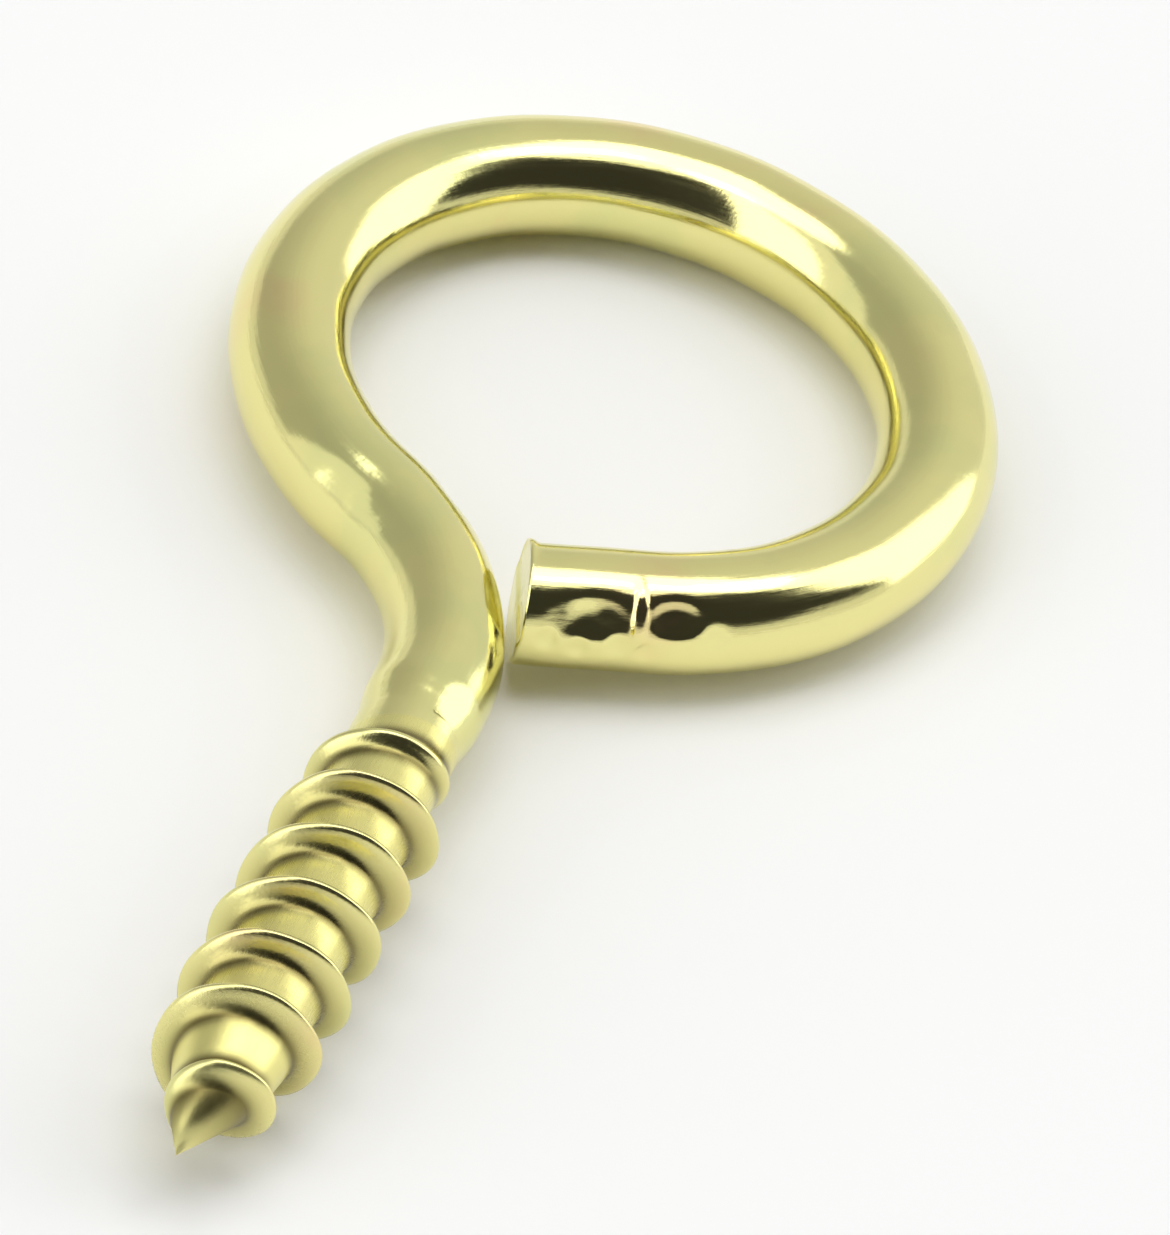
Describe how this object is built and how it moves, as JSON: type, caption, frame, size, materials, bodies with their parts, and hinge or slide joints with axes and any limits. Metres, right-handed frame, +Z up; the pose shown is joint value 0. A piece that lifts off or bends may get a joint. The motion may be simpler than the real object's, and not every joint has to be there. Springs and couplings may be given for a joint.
{
  "type": "screw eye",
  "caption": "Wire screw eye: a round closed eye bent from one brass-plated wire, on a short shank with a rolled wood thread and a gimlet point.",
  "frame": {"origin": "middle of the part's footprint, on the surface it lies on", "axes": "+X along the shank from the point to the eye, +Y across the eye, +Z up from the surface it lies on"},
  "size_m": [0.0262, 0.0122, 0.0027],
  "materials": {
    "brass_plate": "bright brass plating on steel wire"
  },
  "bodies": {
    "root": {"screw_eye": "brass_plate"}
  },
  "joints": []
}
